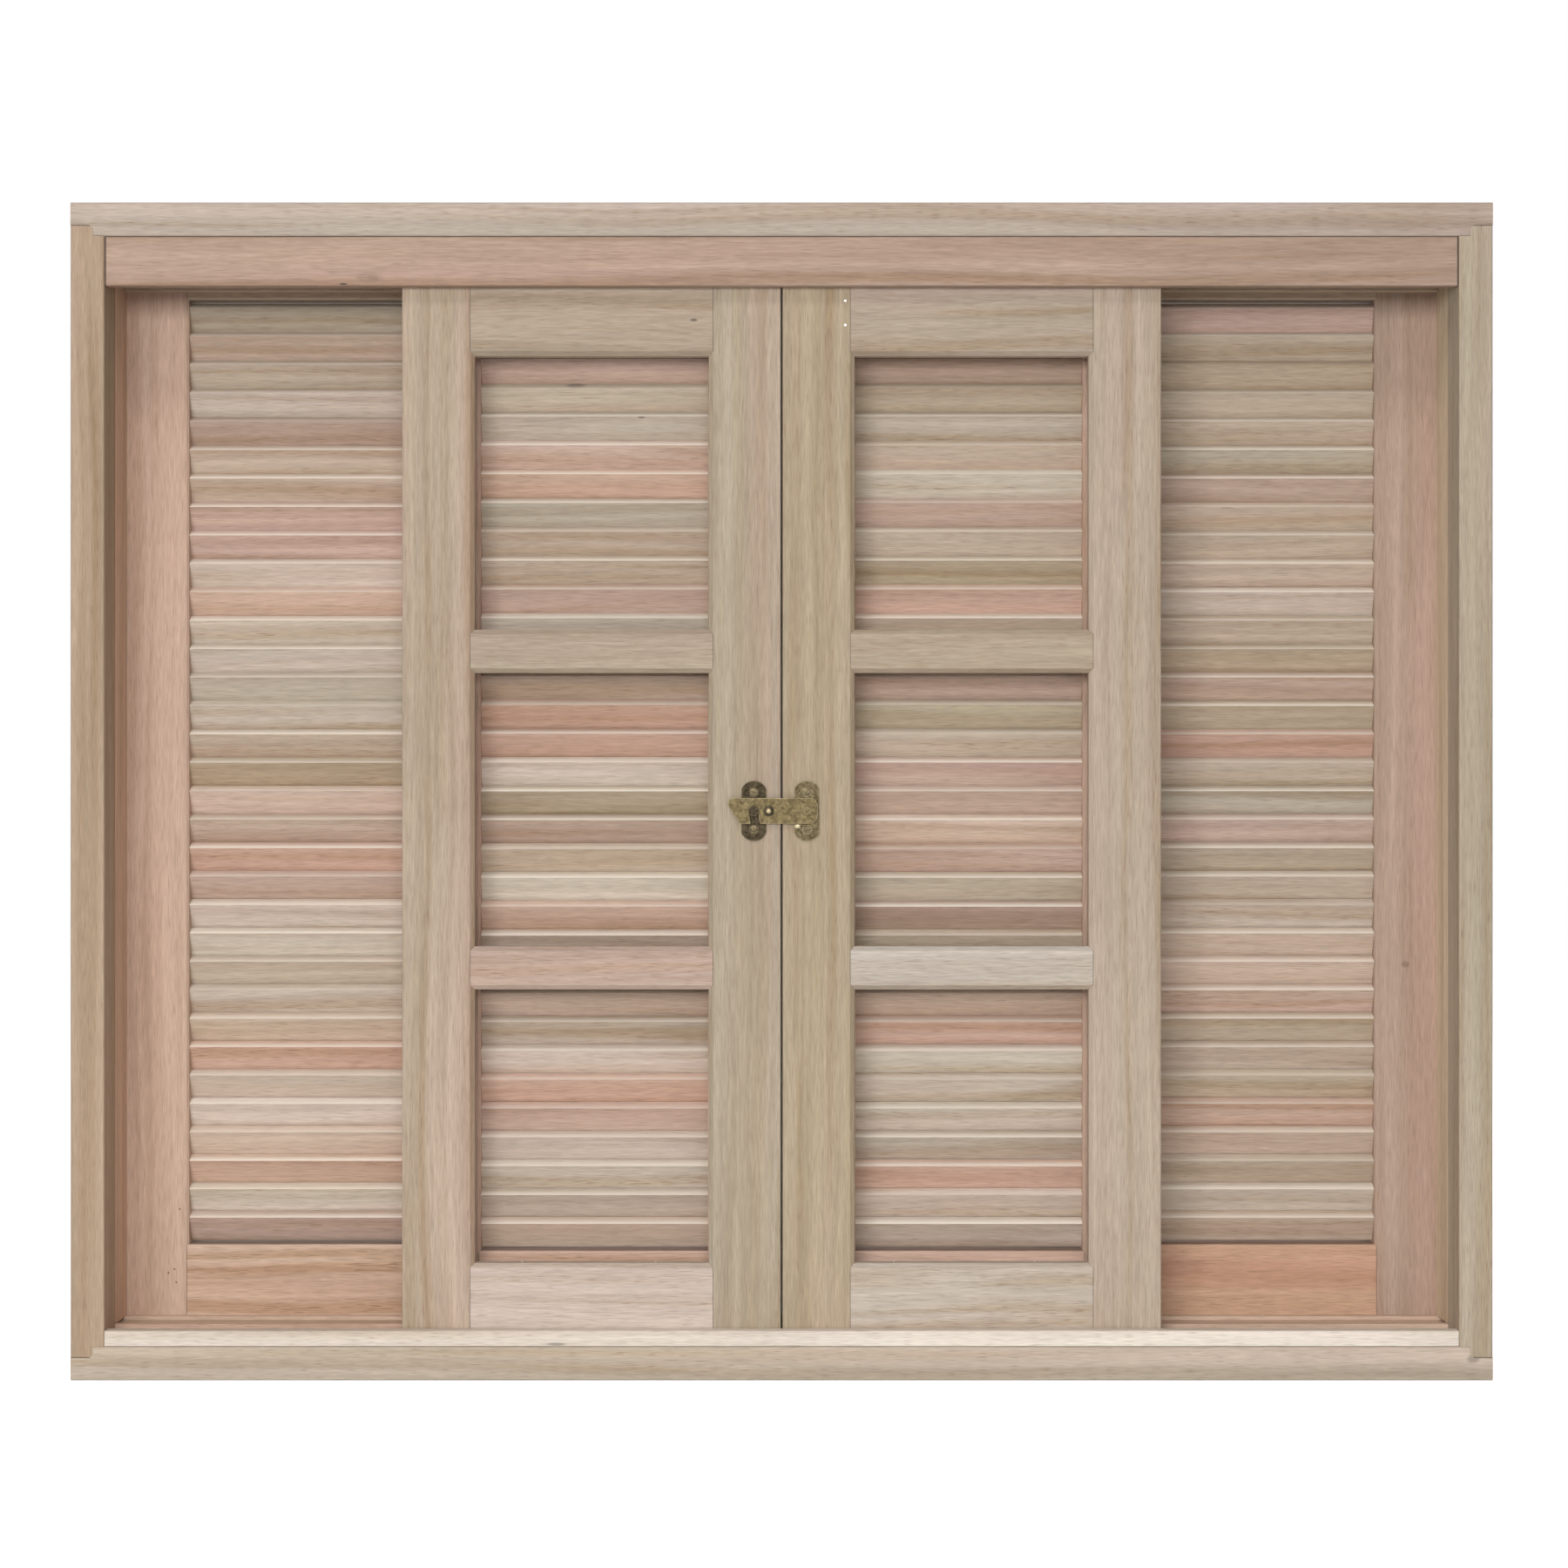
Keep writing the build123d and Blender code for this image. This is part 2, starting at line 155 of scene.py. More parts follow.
floor_reach = 6.0
floor_brightness = 0.85
floor_corners = floor_reach * np.array([(-1, -1, 0), (1, -1, 0), (1, 1, 0), (-1, 1, 0)])
floor_mesh = bpy.data.meshes.new("studio_floor")
floor_mesh.from_pydata(floor_corners.tolist(), [], [(0, 1, 2, 3)])
floor_paint = bpy.data.materials.new("studio_floor")
floor_paint.use_nodes = True
paint = floor_paint.node_tree
paint.nodes.clear()
matt_floor = place_node(
    paint, "ShaderNodeBsdfPrincipled", {"Base Color": (0.6, 0.6, 0.6, 1), "Roughness": 0.9}
)
floor_glow = place_node(
    paint,
    "ShaderNodeEmission",
    {"Strength": arithmetic(paint, "MULTIPLY", seen_ray(paint), floor_brightness)},
)
floor_both = place_node(
    paint, "ShaderNodeAddShader", {0: matt_floor.outputs[0], 1: floor_glow.outputs[0]}
)
place_node(paint, "ShaderNodeOutputMaterial", {"Surface": floor_both.outputs[0]})
floor_mesh.materials.append(floor_paint)
studio_floor = bpy.data.objects.new("studio_floor", floor_mesh)
scene.collection.objects.link(studio_floor)


# The four frame boards
#
# Sill, head and two jambs are planed boards of raw plantation hardwood, lapped at the corners.
# The wood is unfinished: tan sapwood with olive and pink heartwood streaks and fine open pores.


def new_group(name, inputs, outputs):
    """An empty shader group with its sockets, its input node's outputs and its output node."""
    group = bpy.data.node_groups.new(name, "ShaderNodeTree")
    for direction, sockets in (("INPUT", inputs), ("OUTPUT", outputs)):
        for socket, kind in sockets.items():
            socket_type = "NodeSocket" + kind
            group.interface.new_socket(socket, in_out=direction, socket_type=socket_type)
    return group, group.nodes.new("NodeGroupInput").outputs, group.nodes.new("NodeGroupOutput")


def vector_math(tree, operation, *operands):
    """The value of one Vector Math node: a number for a length or a dot product."""
    operands = dict(enumerate(operands))
    outputs = place_node(tree, "ShaderNodeVectorMath", operands, operation=operation).outputs
    return outputs["Value"] if operation in ("LENGTH", "DOT_PRODUCT") else outputs["Vector"]


def stretched_noise(tree, vector, stretch, detail, roughness=0.5):
    """Noise drawn out along the grain: the position is scaled on each axis, then sampled."""
    scaled = vector_math(tree, "MULTIPLY", vector, stretch)
    return place_node(
        tree,
        "ShaderNodeTexNoise",
        {"Vector": scaled, "Scale": 1.0, "Detail": detail, "Roughness": roughness},
    ).outputs


def ramp_value(tree, value, low, high, to_low=0.0, to_high=1.0):
    """A value carried linearly from one range to another, and held at its ends."""
    sockets = {
        "Value": value, "From Min": low, "From Max": high, "To Min": to_low, "To Max": to_high
    }
    return place_node(tree, "ShaderNodeMapRange", sockets, clamp=True).outputs[0]


def mixed(tree, factor, first, second, blend="MIX"):
    """The colour of one Mix node."""
    sockets = {0: factor, 6: first, 7: second}
    mix = place_node(tree, "ShaderNodeMix", sockets, data_type="RGBA", blend_type=blend)
    return mix.outputs[2]


timber, given, made = new_group(
    "sawn_timber",
    {
        "Vector": "Vector", "Seed": "Float", "Tone": "Color", "Streak": "Color",
        "Rings": "Float", "Pith": "Vector", "Flecks": "Float", "Stripes": "Float",
    },
    {"Color": "Color", "Roughness": "Float", "Height": "Float"},
)
# The seed moves each board to its own place in the noise, so that no two boards are alike.
apart = vector_math(timber, "MULTIPLY", given["Seed"], (3.1, 1.7, 2.3))
spot = vector_math(timber, "ADD", given["Vector"], apart)
# The grain wanders sideways along the board, by up to this many metres.
wander_reach = (0, 0.03, 0.03)
wander = stretched_noise(timber, spot, (2.2, 8.0, 8.0), 1.0)["Color"]
flow = vector_math(timber, "MULTIPLY_ADD", wander, wander_reach, spot)
bent = vector_math(timber, "MULTIPLY_ADD", wander, wander_reach, given["Vector"])
# Growth rings are noise over the distance from the pith, the middle line of the tree.
from_pith = vector_math(timber, "SUBTRACT", bent, given["Pith"])
across_grain = vector_math(timber, "MULTIPLY", from_pith, (0, 1, 1))
ring_radius = vector_math(timber, "LENGTH", across_grain)
ring_place = arithmetic(timber, "MULTIPLY_ADD", ring_radius, given["Rings"], given["Seed"])
rings = place_node(
    timber,
    "ShaderNodeTexNoise",
    {"W": ring_place, "Scale": 1.0, "Detail": 2.0, "Roughness": 0.5},
    noise_dimensions="1D",
).outputs[0]
# Soft bands, fine threads, fibres and pores, each drawn out along the grain.
bands = stretched_noise(timber, flow, (0.9, 36.0, 36.0), 1.0)[0]
threads = stretched_noise(timber, flow, (4.0, 190.0, 190.0), 1.0, 0.6)[0]
fibre = stretched_noise(timber, spot, (55.0, 1000.0, 1000.0), 1.0, 0.6)[0]
pores = ramp_value(
    timber, stretched_noise(timber, spot, (75.0, 1500.0, 1500.0), 0.0)[0], 0.62, 0.74
)
vein = arithmetic(
    timber,
    "ADD",
    arithmetic(timber, "MULTIPLY", ramp_value(timber, rings, 0.35, 0.7), 0.55),
    arithmetic(timber, "MULTIPLY", ramp_value(timber, bands, 0.38, 0.64), 0.6),
)
veined = mixed(timber, vein, given["Tone"], given["Streak"])
# A slow change between a greenish and a rosy cast.
blush = stretched_noise(timber, flow, (0.7, 17.0, 17.0), 1.0)[0]
tint = mixed(
    timber, ramp_value(timber, blush, 0.36, 0.64), (0.985, 1.0, 0.96, 1), (1.035, 0.985, 0.985, 1)
)
tinted = mixed(timber, 1.0, veined, tint, "MULTIPLY")
# Separate streaks of darker heartwood and paler sapwood.
white = (1, 1, 1, 1)
stripes = stretched_noise(timber, flow, (0.6, 62.0, 62.0), 2.0, 0.6)[0]
heart = arithmetic(timber, "MULTIPLY", ramp_value(timber, stripes, 0.5, 0.68), given["Stripes"])
sap = arithmetic(timber, "MULTIPLY", ramp_value(timber, stripes, 0.48, 0.32), given["Stripes"])
heart_tint = mixed(timber, heart, white, (0.85, 0.79, 0.7, 1))
sap_tint = mixed(timber, sap, white, (1.09, 1.1, 1.1, 1))
streaks = mixed(timber, 1.0, heart_tint, sap_tint, "MULTIPLY")
striped = mixed(timber, 1.0, tinted, streaks, "MULTIPLY")
threaded = mixed(
    timber, 1.0, striped, ramp_value(timber, threads, 0.3, 0.7, 0.94, 1.06), "MULTIPLY"
)
grained = mixed(
    timber, 1.0, threaded, ramp_value(timber, fibre, 0.28, 0.72, 0.88, 1.1), "MULTIPLY"
)
# The open pores are dark flecks, stronger in the heartwood streaks.
pore_brown = (0.23, 0.14, 0.08, 1)
open_share = arithmetic(timber, "MULTIPLY_ADD", heart, 0.9, 0.7)
open_grain = arithmetic(timber, "MULTIPLY", pores, open_share)
fleck = arithmetic(timber, "MULTIPLY", open_grain, given["Flecks"])
flecked = mixed(timber, fleck, grained, pore_brown)
timber.links.new(flecked, made.inputs["Color"])
timber.links.new(ramp_value(timber, fibre, 0.2, 0.8, 0.8, 0.62), made.inputs["Roughness"])
timber.links.new(arithmetic(timber, "SUBTRACT", fibre, pores), made.inputs["Height"])

# A rounded edge, with a mask that is 1 where the rounding turns the surface away from its face.
arris, given, made = new_group(
    "rounded_arris", {"Radius": "Float"}, {"Normal": "Vector", "Edge": "Float"}
)
eased = place_node(arris, "ShaderNodeBevel", {"Radius": given["Radius"]}, samples=2).outputs[0]
facing = place_node(arris, "ShaderNodeNewGeometry").outputs["True Normal"]
likeness = vector_math(arris, "DOT_PRODUCT", eased, facing)
arris.links.new(eased, made.inputs["Normal"])
arris.links.new(ramp_value(arris, likeness, 1.0, 0.86), made.inputs["Edge"])


def object_position(tree):
    """Where a point lies on its piece, in metres."""
    return place_node(tree, "ShaderNodeTexCoord").outputs["Object"]


def along_grain(tree, axis):
    """Object coordinates in metres, turned so that the grain's axis comes first."""
    position = object_position(tree)
    if axis == "X":
        return position
    parts = place_node(tree, "ShaderNodeSeparateXYZ", {0: position}).outputs
    turned = (parts[2], parts[0], parts[1]) if axis == "Z" else (parts[1], parts[2], parts[0])
    return place_node(tree, "ShaderNodeCombineXYZ", dict(enumerate(turned))).outputs[0]


def dark_spot(tree, colour, place, reach, depth):
    """Darken a colour in a soft round spot, such as a nail hole or a knot's eye."""
    offset = vector_math(tree, "SUBTRACT", object_position(tree), place)
    shrunk = vector_math(tree, "MULTIPLY", offset, tuple(1 / r for r in reach))
    distance = vector_math(tree, "LENGTH", shrunk)
    shade = ramp_value(tree, distance, 0.55, 1.0, 1 - depth, 1.0)
    return mixed(tree, 1.0, colour, shade, "MULTIPLY")


def dark_line(tree, colour, axis, places, half_width, depth):
    """Darken a colour in thin lines square to an axis, where two pieces are jointed."""
    parts = place_node(tree, "ShaderNodeSeparateXYZ", {0: object_position(tree)}).outputs
    along = parts["XYZ".index(axis)]
    for place in places:
        away = arithmetic(tree, "ABSOLUTE", arithmetic(tree, "SUBTRACT", along, place))
        shade = ramp_value(tree, away, half_width * 0.4, half_width, 1 - depth, 1.0)
        colour = mixed(tree, 1.0, colour, shade, "MULTIPLY")
    return colour


pore_strength = 0.35
# How far eased edges are painted toward the arris tone: partly rubbed wear, partly painted
# highlight.
arris_wear_and_highlight = 0.35
arris_tone = (0.72, 0.6, 0.48, 1)


def timber_finish(
    name, axis, seed, tone, streak, rings=75.0, pith=(0, 0.3, 0.25),
    spots=(), lines=(), stripes=1.0, arris_radius=0.0008,
):
    """Raw timber: the grain group's colour, with knots and joint lines, over eased edges."""
    finish = bpy.data.materials.new(name)
    finish.use_nodes = True
    tree = finish.node_tree
    shader = tree.nodes["Principled BSDF"]
    wood = place_node(
        tree,
        "ShaderNodeGroup",
        {
            "Vector": along_grain(tree, axis), "Seed": seed, "Tone": (*tone, 1),
            "Streak": (*streak, 1), "Rings": rings, "Pith": pith, "Flecks": pore_strength,
            "Stripes": stripes,
        },
        node_tree=timber,
    )
    colour = wood.outputs["Color"]
    for place, reach, depth in spots:
        colour = dark_spot(tree, colour, place, reach, depth)
    for line_axis, places, half_width, depth in lines:
        colour = dark_line(tree, colour, line_axis, places, half_width, depth)
    bump = place_node(
        tree,
        "ShaderNodeBump",
        {"Strength": 0.5, "Distance": 0.00015, "Height": wood.outputs["Height"]},
    )
    if arris_radius:
        edge = place_node(tree, "ShaderNodeGroup", {"Radius": arris_radius}, node_tree=arris)
        # Each eased edge is painted lighter: partly rubbed wear, partly painted highlight.
        wear_and_highlight = arithmetic(tree, "MULTIPLY", edge.outputs["Edge"], arris_wear_and_highlight)
        colour = mixed(tree, wear_and_highlight, colour, arris_tone)
        tree.links.new(edge.outputs["Normal"], bump.inputs["Normal"])
    tree.links.new(colour, shader.inputs["Base Color"])
    tree.links.new(wood.outputs["Roughness"], shader.inputs["Roughness"])
    tree.links.new(bump.outputs[0], shader.inputs["Normal"])
    shader.inputs["Specular IOR Level"].default_value = 0.3
    return finish


def clad(node, finish):
    """Give a CAD node its finish in every material slot."""
    mesh = nodes[node].data
    if not mesh.materials:
        mesh.materials.append(finish)
    for slot in range(len(mesh.materials)):
        mesh.materials[slot] = finish


frame_rings = 70.0
# Each board: its grain's axis, seed, tone, streak and pith.
frame_timber = {
    "head": ("X", 1.1, (0.487, 0.404, 0.353), (0.424, 0.351, 0.293), (0, 0.02, 1.3)),
    "sill": ("X", 2.7, (0.545, 0.462, 0.388), (0.445, 0.373, 0.291), (0, -0.03, -0.22)),
    "left_jamb": ("Z", 3.9, (0.411, 0.3, 0.222), (0.346, 0.256, 0.175), (0, -0.75, -0.2)),
    "right_jamb": ("Z", 5.3, (0.454, 0.381, 0.31), (0.398, 0.332, 0.252), (0, 0.8, -0.3)),
}
# Dark lines and bands: an axis, places along it, a half width in metres and a depth.
# The head's and the sill's broad bands darken each front towards its lower edge: partly the wood's
# tone, partly painted shade.
frame_bands = {"head": [("Z", (0.969,), 0.015, 0.13)], "sill": [("Z", (0.003,), 0.017, 0.15)]}
# Knots and holes: a middle and a reach on each axis, in metres, and a depth.
frame_knots = {"sill": [((0.5834, -0.07, 0.0183), (0.0065, 0.02, 0.0042), 0.35)]}
for board, (axis, seed, tone, streak, pith) in frame_timber.items():
    lap_low, lap_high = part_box(board)
    bands = frame_bands.get(board, [("Z", (lap_low.z, lap_high.z), 0.0011, 0.75)])
    knots = frame_knots.get(board, ())
    finish = timber_finish(
        board, axis, seed, tone, streak, frame_rings, pith, spots=knots, lines=bands
    )
    clad(board, finish)


# Guide strips, valance and side stops
#
# Thin planed strips nailed into the frame make the lanes that the leaves run in.
# The valance across the top is rosy heartwood, the front bead is nearly white sapwood.

# Each strip: its grain's axis, seed, tone and streak.
strip_timber = {
    "valance": ("X", 11.2, (0.402, 0.287, 0.229), (0.346, 0.24, 0.181)),
    "front_guide_bead": ("X", 12.6, (0.688, 0.632, 0.563), (0.593, 0.533, 0.456)),
    "track_front_strip": ("X", 13.1, (0.58, 0.42, 0.34), (0.50, 0.35, 0.27)),
    "track_base_strip": ("X", 14.4, (0.56, 0.44, 0.34), (0.48, 0.36, 0.27)),
    "track_rear_strip": ("X", 15.8, (0.60, 0.46, 0.37), (0.52, 0.38, 0.29)),
    "head_parting_strip": ("X", 16.3, (0.46, 0.36, 0.27), (0.40, 0.30, 0.22)),
    "head_rear_strip": ("X", 17.9, (0.47, 0.36, 0.27), (0.42, 0.31, 0.23)),
    "head_filler_strip": ("X", 18.2, (0.52, 0.42, 0.33), (0.45, 0.36, 0.27)),
    "sill_filler_strip": ("X", 19.5, (0.52, 0.42, 0.33), (0.45, 0.36, 0.27)),
    "left_side_stop": ("Z", 20.1, (0.624, 0.428, 0.312), (0.524, 0.373, 0.267)),
    "right_side_stop": ("Z", 21.7, (0.66, 0.54, 0.4), (0.57, 0.45, 0.32)),
}
strip_knots = {
    "valance": [
        ((-0.3698, -0.0685, 0.9253), (0.004, 0.02, 0.0012), 0.7),
        ((-0.3480, -0.0685, 0.9312), (0.014, 0.03, 0.006), 0.16),
        ((-0.3450, -0.0685, 0.9308), (0.006, 0.02, 0.0025), 0.12),
    ],
    "front_guide_bead": [((-0.190, -0.07, 0.0308), (0.010, 0.02, 0.0014), 0.5)],
}
for strip, (axis, seed, tone, streak) in strip_timber.items():
    knots = strip_knots.get(strip, ())
    low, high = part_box(strip)
    joints = ()
    if strip == "valance":
        joints = [("X", (low.x, high.x), 0.0016, 0.8), ("Z", (high.z,), 0.0009, 0.6)]
    if strip == "front_guide_bead":
        joints = [("Z", (low.z,), 0.001, 0.55)]
    clad(strip, timber_finish(strip, axis, seed, tone, streak, spots=knots, lines=joints))


# Glazing sashes
#
# Two light sashes of three lights each, mortised and tenoned, with a chamfer round each light.
# The stiles are tan with olive and rose streaks, and each rail is from another board.

sash_timber = {
    "left_sash_outer_stile": ("Z", 31.3, (0.432, 0.343, 0.271), (0.382, 0.294, 0.223)),
    "left_sash_inner_stile": ("Z", 32.9, (0.411, 0.343, 0.274), (0.36, 0.282, 0.205)),
    "right_sash_inner_stile": ("Z", 33.7, (0.424, 0.336, 0.251), (0.371, 0.289, 0.199)),
    "right_sash_outer_stile": ("Z", 34.2, (0.445, 0.358, 0.294), (0.393, 0.31, 0.242)),
    "left_sash_top_rail": ("X", 35.5, (0.399, 0.325, 0.253), (0.352, 0.283, 0.216)),
    "left_sash_middle_rail_2": ("X", 36.8, (0.394, 0.325, 0.253), (0.352, 0.282, 0.218)),
    "left_sash_middle_rail_1": ("X", 37.4, (0.514, 0.409, 0.357), (0.46, 0.356, 0.301)),
    "left_sash_bottom_rail": ("X", 38.6, (0.542, 0.478, 0.414), (0.483, 0.411, 0.35)),
    "right_sash_top_rail": ("X", 39.1, (0.43, 0.353, 0.291), (0.382, 0.306, 0.243)),
    "right_sash_middle_rail_2": ("X", 40.3, (0.419, 0.343, 0.259), (0.375, 0.298, 0.223)),
    "right_sash_middle_rail_1": ("X", 41.7, (0.523, 0.474, 0.427), (0.469, 0.412, 0.36)),
    "right_sash_bottom_rail": ("X", 42.2, (0.513, 0.46, 0.4), (0.443, 0.385, 0.318)),
}


def shoulder_lines(node):
    """Where a rail's shoulders meet the stiles, as joint lines for its finish."""
    stile_face = 0.0575 if "sash" in node else 0.061
    leaf = "_".join(node.split("_")[:2])
    edges = sorted(
        edge.x for part in ("inner_stile", "outer_stile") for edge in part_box(f"{leaf}_{part}")
    )
    return [("X", (edges[0] + stile_face, edges[-1] - stile_face), 0.0008, 0.6)]


meeting_lines = [("X", (-0.0005, 0.0005), 0.0009, 0.55)]
sash_knots = {"left_sash_top_rail": [((-0.0745, -0.0565, 0.8968), (0.0038, 0.02, 0.0015), 0.6)]}
for piece, (axis, seed, tone, streak) in sash_timber.items():
    joints = shoulder_lines(piece) if "rail" in piece else ()
    if "inner" in piece:
        joints = meeting_lines
    knots = sash_knots.get(piece, ())
    clad(piece, timber_finish(piece, axis, seed, tone, streak, spots=knots, lines=joints))


# Stiles and rails of the louvred leaves
#
# Two shutters slide behind the sashes, and a fixed louvred panel stands at each side.
# Their outer stiles are rose heartwood, the rails mixed, all as raw as the rest.

louvre_timber = {
    "left_panel_outer_stile": ("Z", 51.3, (0.515, 0.364, 0.292), (0.456, 0.313, 0.235)),
    "left_panel_inner_stile": ("Z", 52.8, (0.515, 0.371, 0.288), (0.453, 0.319, 0.237)),
    "left_panel_bottom_rail": ("X", 53.4, (0.579, 0.464, 0.363), (0.482, 0.335, 0.248)),
    "left_panel_top_rail": ("X", 54.9, (0.48, 0.38, 0.28), (0.42, 0.33, 0.24)),
    "right_panel_outer_stile": ("Z", 55.1, (0.44, 0.317, 0.262), (0.382, 0.275, 0.216)),
    "right_panel_inner_stile": ("Z", 56.6, (0.515, 0.381, 0.288), (0.453, 0.319, 0.237)),
    "right_panel_bottom_rail": ("X", 57.2, (0.545, 0.35, 0.251), (0.477, 0.281, 0.193)),
    "right_panel_top_rail": ("X", 58.7, (0.48, 0.38, 0.28), (0.42, 0.33, 0.24)),
    "left_shutter_outer_stile": ("Z", 61.2, (0.51, 0.37, 0.30), (0.46, 0.31, 0.245)),
    "left_shutter_inner_stile": ("Z", 62.4, (0.50, 0.38, 0.29), (0.45, 0.33, 0.24)),
    "left_shutter_bottom_rail": ("X", 63.9, (0.60, 0.42, 0.34), (0.54, 0.36, 0.28)),
    "left_shutter_top_rail": ("X", 64.3, (0.49, 0.39, 0.30), (0.43, 0.33, 0.25)),
    "right_shutter_outer_stile": ("Z", 65.7, (0.51, 0.38, 0.30), (0.46, 0.32, 0.25)),
    "right_shutter_inner_stile": ("Z", 66.8, (0.50, 0.38, 0.29), (0.45, 0.33, 0.24)),
    "right_shutter_bottom_rail": ("X", 67.5, (0.60, 0.43, 0.35), (0.54, 0.37, 0.29)),
    "right_shutter_top_rail": ("X", 68.1, (0.49, 0.39, 0.30), (0.43, 0.33, 0.25)),
}
nail_holes = {
    "left_panel_outer_stile": [
        ((x, 0.017, z), (0.001, 0.004, 0.001), 0.75)
        for x, z in ((-0.5300, 0.0798), (-0.5353, 0.0767), (-0.5285, 0.0684), (-0.5254, 0.1322))
    ],
    "right_panel_outer_stile": [((0.5444, 0.017, 0.3459), (0.0045, 0.004, 0.0035), 0.3)],
}
bold_stripes = {
    "left_panel_bottom_rail": 2.6, "right_panel_bottom_rail": 0.6,
    "left_panel_outer_stile": 0.6, "right_panel_outer_stile": 0.4,
}
for piece, (axis, seed, tone, streak) in louvre_timber.items():
    joints = shoulder_lines(piece) if "rail" in piece else []
    rail_low, rail_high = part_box(piece)
    if "top_rail" in piece:
        joints += [("Z", (rail_low.z,), 0.0012, 0.55)]
    if "bottom_rail" in piece:
        joints += [("Z", (rail_high.z,), 0.0010, 0.6)]
    holes = nail_holes.get(piece, ())
    bold = bold_stripes.get(piece, 1.0)
    finish = timber_finish(
        piece, axis, seed, tone, streak, spots=holes, lines=joints, stripes=bold
    )
    clad(piece, finish)


# Meeting slip
#
# A thin slip of the same wood is glued to the left shutter's meeting edge. It closes the gap
# to the right shutter, so no daylight shows between the two.


def drawn_profile(profile, low, high):
    """Points and faces of a closed profile in X and Y, drawn straight up from one height to
    another: each corner is repeated at both heights, and the two ends are capped."""
    corners = len(profile)
    ends = np.repeat([low, high], corners)
    points = np.column_stack([np.tile(profile, (2, 1)), ends])
    around = np.arange(corners)
    after = (around + 1) % corners
    sides = np.stack([around, after, after + corners, around + corners], axis=-1)
    caps = [around[::-1].tolist(), (around + corners).tolist()]
    return points, sides.tolist() + caps


def piece_mesh(name, points, faces, finish, body, smooth=True):
    """A new piece from its points and faces, in metres, riding on a body of the window."""
    mesh = bpy.data.meshes.new(name)
    mesh.from_pydata(points.tolist(), [], faces)
    mesh.materials.append(finish)
    if smooth:
        mesh.shade_smooth()
        mesh.set_sharp_from_angle(angle=math.radians(35))
    piece = bpy.data.objects.new(name, mesh)
    scene.collection.objects.link(piece)
    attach(piece, body)
    return piece


shutter_low, shutter_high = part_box("left_shutter_inner_stile")
slip_thickness = 0.00095
slip_inset, slip_width = 0.006, 0.012
slip_arris = 0.0003
slip_left, slip_right = shutter_high.x, shutter_high.x + slip_thickness
slip_front = shutter_low.y + slip_inset
slip_back = slip_front + slip_width
slip_profile = np.array([
    (slip_left, slip_front), (slip_right - slip_arris, slip_front),
    (slip_right, slip_front + slip_arris), (slip_right, slip_back - slip_arris),
    (slip_right - slip_arris, slip_back), (slip_left, slip_back),
])
slip_points, slip_faces = drawn_profile(slip_profile, shutter_low.z, shutter_high.z)
slip_wood = timber_finish("meeting_slip", "Z", 69.4, (0.42, 0.32, 0.23), (0.36, 0.26, 0.18))
piece_mesh(
    "meeting_slip", slip_points, slip_faces, slip_wood, "left_shutter", smooth=False
)


# Slats
#
# Every louvred leaf holds 33 thin slats, housed in its stiles, each leaning toward the room.
# They come from many offcuts, so cream, tan, olive, peach and rose slats lie mixed.

slat_tones = {
    "cream": (0.571, 0.502, 0.438), "tan": (0.504, 0.422, 0.346), "grey": (0.465, 0.405, 0.342),
    "olive": (0.448, 0.379, 0.286), "peach": (0.558, 0.441, 0.367), "salmon": (0.558, 0.392, 0.323),
    "rose": (0.516, 0.386, 0.332), "brown": (0.457, 0.35, 0.292),
}
# Paler tones gather toward the lower slats: partly the slats' own tones, partly painted light for
# the brighter light that falls on them.
slat_orders = {
    "left_panel": "grey brown tan cream brown tan peach rose rose cream salmon cream cream grey "
    "cream tan olive peach brown salmon rose cream cream tan cream peach salmon cream cream "
    "peach salmon cream rose",
    "right_panel": "rose tan olive tan tan grey brown tan tan tan cream tan olive brown olive "
    "salmon tan grey rose tan tan cream tan peach rose tan tan tan salmon peach tan cream tan",
    "left_shutter": "tan grey rose tan grey rose salmon grey tan tan rose cream tan brown salmon "
    "salmon cream olive brown tan cream salmon cream tan brown grey cream salmon rose cream cream "
    "grey peach",
    "right_shutter": "brown rose brown olive grey tan cream brown tan olive salmon tan tan brown "
    "olive tan rose rose peach rose tan brown tan tan brown salmon cream cream cream grey salmon "
    "cream cream",
}
slat_knots = {
    "left_shutter": [
        ((-0.1778, -0.017, 0.8477), (0.0115, 0.014, 0.0036), 0.6),
        ((-0.1208, -0.017, 0.8192), (0.004, 0.014, 0.0012), 0.5),
    ]
}
slat_count = 33
slat_lean = math.radians(28)
slat_width, slat_thickness = 0.0241, 0.010
slat_rise = slat_width * math.cos(slat_lean) + slat_thickness * math.sin(slat_lean)


def slat_places(tree, position, low, high):
    """For a point on the slats: the slat's number from below, and how far the point lies up the
    slat's slanting face and through its thickness, both from the slat's middle, in metres."""
    parts = place_node(tree, "ShaderNodeSeparateXYZ", {0: position}).outputs
    pitch = (high.z - low.z - slat_rise) / (slat_count - 1)
    first = low.z + slat_rise / 2
    outwards = arithmetic(tree, "SUBTRACT", parts[1], (low.y + high.y) / 2)
    leaned = arithmetic(tree, "SUBTRACT", arithmetic(tree, "ADD", parts[2], outwards), first)
    number = arithmetic(tree, "ROUND", arithmetic(tree, "DIVIDE", leaned, pitch))
    own_height = arithmetic(tree, "MULTIPLY_ADD", number, pitch, first)
    rise = arithmetic(tree, "SUBTRACT", parts[2], own_height)
    cosine, sine = math.cos(slat_lean), math.sin(slat_lean)
    up_face = arithmetic(
        tree, "MULTIPLY_ADD", rise, cosine, arithmetic(tree, "MULTIPLY", outwards, -sine)
    )
    through = arithmetic(
        tree, "MULTIPLY_ADD", rise, sine, arithmetic(tree, "MULTIPLY", outwards, cosine)
    )
    return number, up_face, through


